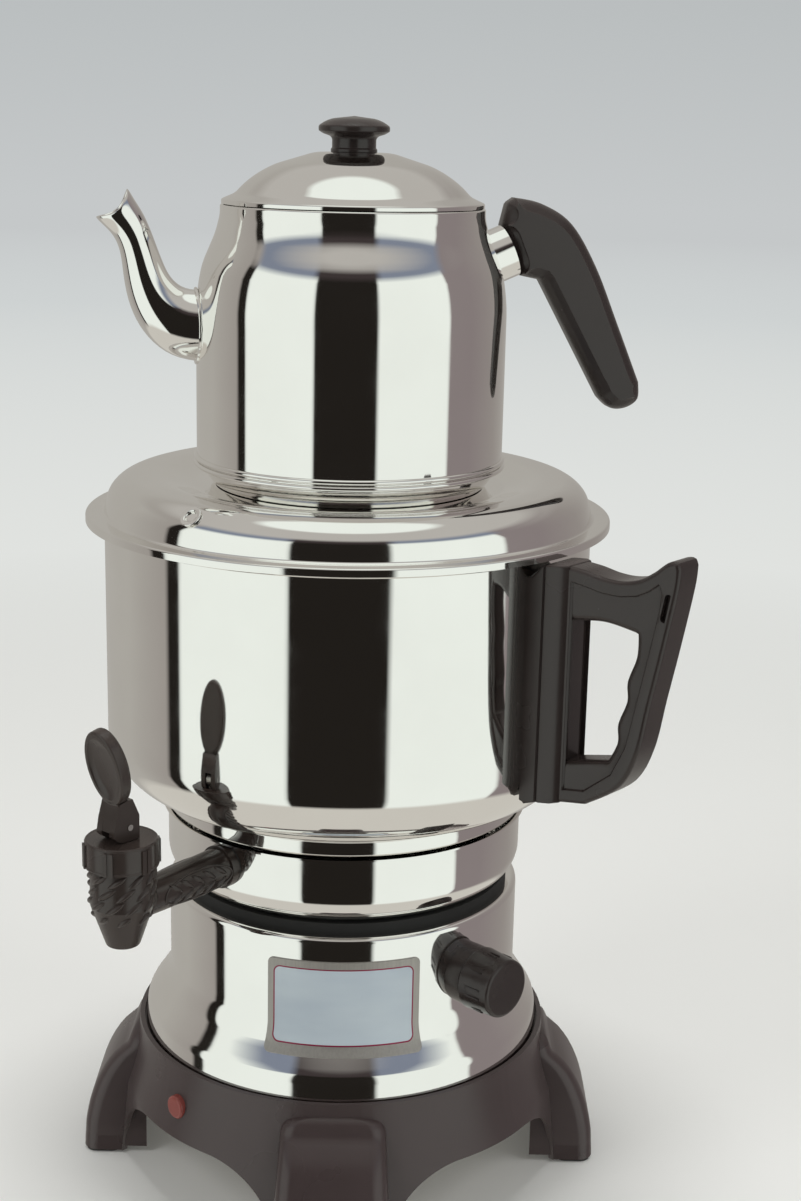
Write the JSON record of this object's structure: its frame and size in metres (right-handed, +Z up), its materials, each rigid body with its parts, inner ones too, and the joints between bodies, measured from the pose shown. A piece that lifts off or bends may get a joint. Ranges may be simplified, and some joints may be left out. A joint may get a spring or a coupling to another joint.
{
  "type": "samovar",
  "caption": "Electric samovar: footed base, heater housing and water tank with lever tap and side handle, and a teapot that stands on the domed tank lid.",
  "frame": {"origin": "on the body's axis, in the plane that the foot pads stand on", "axes": "+Z up, -Y towards the front with the badge, +X to the right"},
  "size_m": [0.303, 0.2867, 0.5542],
  "materials": {
    "base_plastic": "satin moulded, fine grain",
    "black_plastic": "satin moulded",
    "tap_plastic": "satin moulded with relief",
    "polished_steel": "mirror-polished stainless steel",
    "plain_steel": "brushed",
    "brass": "turned",
    "rubber": "matt",
    "inlet_plastic": "matt moulded",
    "lamp_red": "clear red, glossy"
  },
  "bodies": {
    "root": {"base_moulding": "base_plastic", "foot_pads": "rubber", "bottom_cover": "plain_steel", "cover_screws": "plain_steel", "heater_housing": "polished_steel", "seat_ring": "rubber", "tie_rods": "plain_steel", "tie_nuts": "plain_steel", "power_inlet": "inlet_plastic", "inlet_pins": "brass", "inlet_screws": "plain_steel", "thermostat_body": "plain_steel", "thermostat_nut": "brass", "thermostat_collar": "black_plastic", "pilot_lamp_lens": "lamp_red", "pilot_lamp_body": "inlet_plastic", "tank_sump": "polished_steel", "tank_shell": "polished_steel", "heating_element": "plain_steel", "element_bushes": "brass", "element_gaskets": "rubber", "element_nuts": "brass", "tank_handle": "black_plastic", "tank_handle_screws": "plain_steel", "tank_handle_washers": "rubber", "tap_body": "tap_plastic", "tap_gasket": "rubber", "tap_nut": "inlet_plastic", "tap_bonnet": "tap_plastic"},
    "thermostat_dial": {"thermostat_shaft": "plain_steel", "thermostat_knob": "black_plastic"},
    "tap_plunger": {"tap_stem": "plain_steel", "tap_seat_cup": "rubber", "tap_spring": "plain_steel"},
    "tap_lever": {"tap_lever": "tap_plastic", "tap_lever_pin": "plain_steel"},
    "tank_lid": {"tank_lid": "polished_steel", "lid_locating_ring": "plain_steel", "vent_eyelet": "polished_steel"},
    "teapot": {"teapot_body": "polished_steel", "teapot_base_disc": "plain_steel", "teapot_spout": "polished_steel", "handle_ferrule": "polished_steel", "teapot_handle": "black_plastic", "teapot_handle_screw": "plain_steel"},
    "teapot_lid": {"teapot_lid": "polished_steel", "lid_knob": "black_plastic", "lid_knob_washer": "plain_steel", "lid_knob_screw": "plain_steel"}
  },
  "joints": [
    {"name": "tap_plunger_lift", "type": "slide", "parent": "root", "child": "tap_plunger", "axis": [0, 0, 1], "range_m": [0, 0.003], "stiffness_N_per_m": 200, "springref_m": -0.008, "deforming": ["tap_spring"]},
    {"name": "tap_lever_tilt", "type": "hinge", "parent": "tap_plunger", "child": "tap_lever", "pos_m": [-0.10035, -0.12845, 0.2313], "axis": [0.7431, -0.6691, 0], "range_deg": [0, 55]},
    {"name": "thermostat_turn", "type": "hinge", "parent": "root", "child": "thermostat_dial", "pos_m": [0.07778, -0.07778, 0.13], "axis": [-0.7071, 0.7071, 0], "range_deg": [0, 270]},
    {"name": "tank_lid_lift", "type": "slide", "parent": "root", "child": "tank_lid", "axis": [0, 0, 1], "range_m": [0, 0.12]},
    {"name": "teapot_lift", "type": "slide", "parent": "tank_lid", "child": "teapot", "axis": [0, 0, 1], "range_m": [0, 0.15]},
    {"name": "teapot_lid_lift", "type": "slide", "parent": "teapot", "child": "teapot_lid", "axis": [0, 0, 1], "range_m": [0, 0.12]}
  ],
  "couplings": [
    {"joint": "tap_lever_tilt", "follows": "tap_plunger_lift", "rad_per_m": 319.97}
  ]
}
